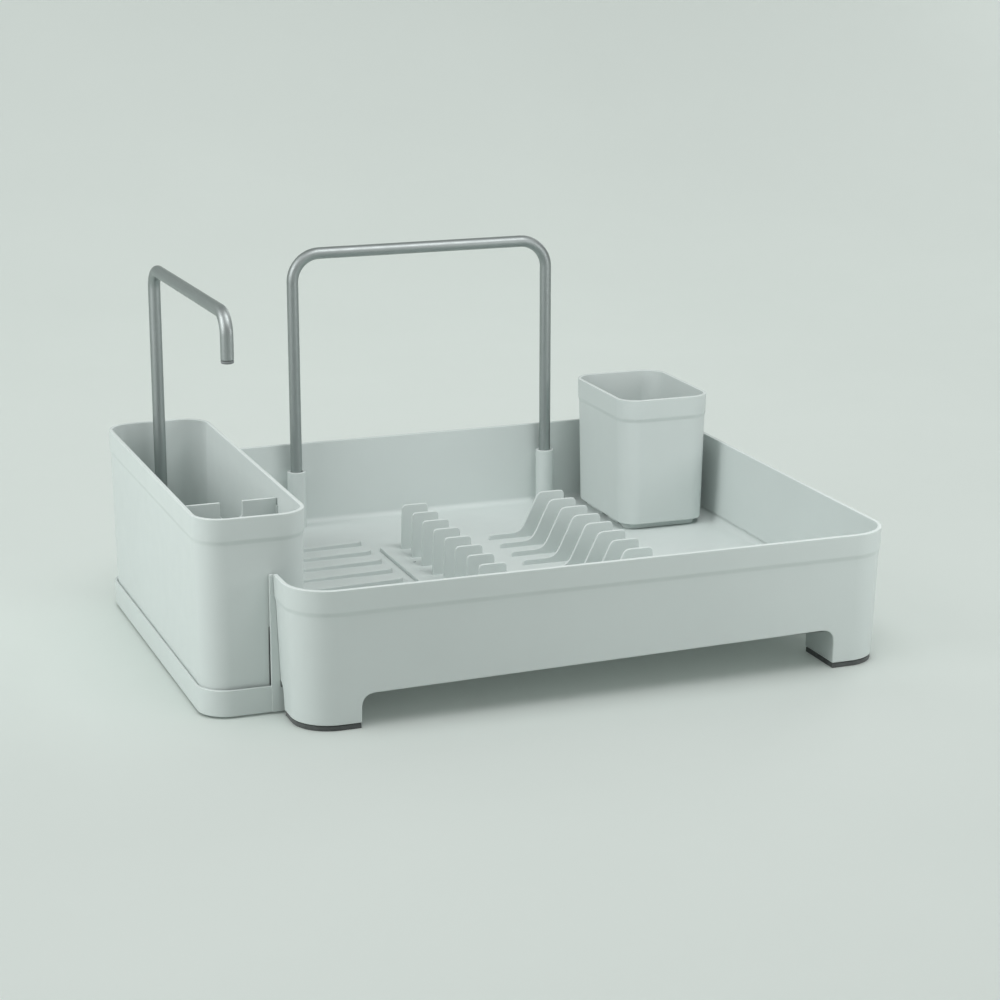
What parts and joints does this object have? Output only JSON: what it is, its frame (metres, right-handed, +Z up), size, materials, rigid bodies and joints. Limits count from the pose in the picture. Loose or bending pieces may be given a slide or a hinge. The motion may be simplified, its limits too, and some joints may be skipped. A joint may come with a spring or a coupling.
{
  "type": "dish drying rack",
  "caption": "Countertop dish drying rack: a rectangular tray on corner legs with a plate rack, cutlery cup, back rail and a side utensil caddy with a swivelling cloth hanger.",
  "frame": {"origin": "centre of the footprint, at counter level", "axes": "+X along the front to the right, with the caddy on the -X side; +Y to the back, where the rail stands; +Z up"},
  "size_m": [0.5346, 0.436, 0.2865],
  "materials": {
    "grey_plastic": "fine matte moulded polypropylene",
    "satin_steel": "satin steel tube",
    "plug_plastic": "matte",
    "foot_rubber": "matte, non-slip"
  },
  "bodies": {
    "tray": {"tray": "grey_plastic", "foot_pad_front_left": "foot_rubber", "foot_pad_front_right": "foot_rubber", "foot_pad_back_left": "foot_rubber", "foot_pad_back_right": "foot_rubber"},
    "rail": {"rail": "satin_steel", "rail_end_plug_left": "plug_plastic", "rail_end_plug_right": "plug_plastic"},
    "plate_rack": {"plate_rack": "grey_plastic"},
    "cup": {"cutlery_cup": "grey_plastic"},
    "drip_tray": {"caddy_drip_tray": "grey_plastic", "drip_pad_front_left": "foot_rubber", "drip_pad_front_right": "foot_rubber", "drip_pad_back_left": "foot_rubber", "drip_pad_back_right": "foot_rubber"},
    "caddy": {"caddy": "grey_plastic"},
    "divider": {"caddy_divider": "grey_plastic"},
    "hanger_foot": {"hanger_foot_plug": "plug_plastic"},
    "hanger": {"hanger": "satin_steel", "hanger_tip_plug": "plug_plastic"}
  },
  "joints": [
    {"name": "rail_lift", "type": "slide", "parent": "tray", "child": "rail", "axis": [0, 0, 1], "range_m": [0, 0.08]},
    {"name": "plate_rack_lift", "type": "slide", "parent": "tray", "child": "plate_rack", "axis": [0, 0, 1], "range_m": [0, 0.09]},
    {"name": "cup_lift", "type": "slide", "parent": "tray", "child": "cup", "axis": [0, 0, 1], "range_m": [0, 0.1]},
    {"name": "drip_tray_pull", "type": "slide", "parent": "tray", "child": "drip_tray", "axis": [-1, 0, 0], "range_m": [0, 0.11]},
    {"name": "caddy_lift", "type": "slide", "parent": "drip_tray", "child": "caddy", "axis": [0, 0, 1], "range_m": [0, 0.15]},
    {"name": "divider_lift", "type": "slide", "parent": "caddy", "child": "divider", "axis": [0, 0, 1], "range_m": [0, 0.15]},
    {"name": "hanger_lift", "type": "slide", "parent": "caddy", "child": "hanger_foot", "axis": [0, 0, 1], "range_m": [0, 0.06]},
    {"name": "hanger_swivel", "type": "hinge", "parent": "hanger_foot", "child": "hanger", "pos_m": [-0.22435, 0.144, 0.06], "axis": [0, 0, 1], "range_deg": [-90, 90]}
  ]
}
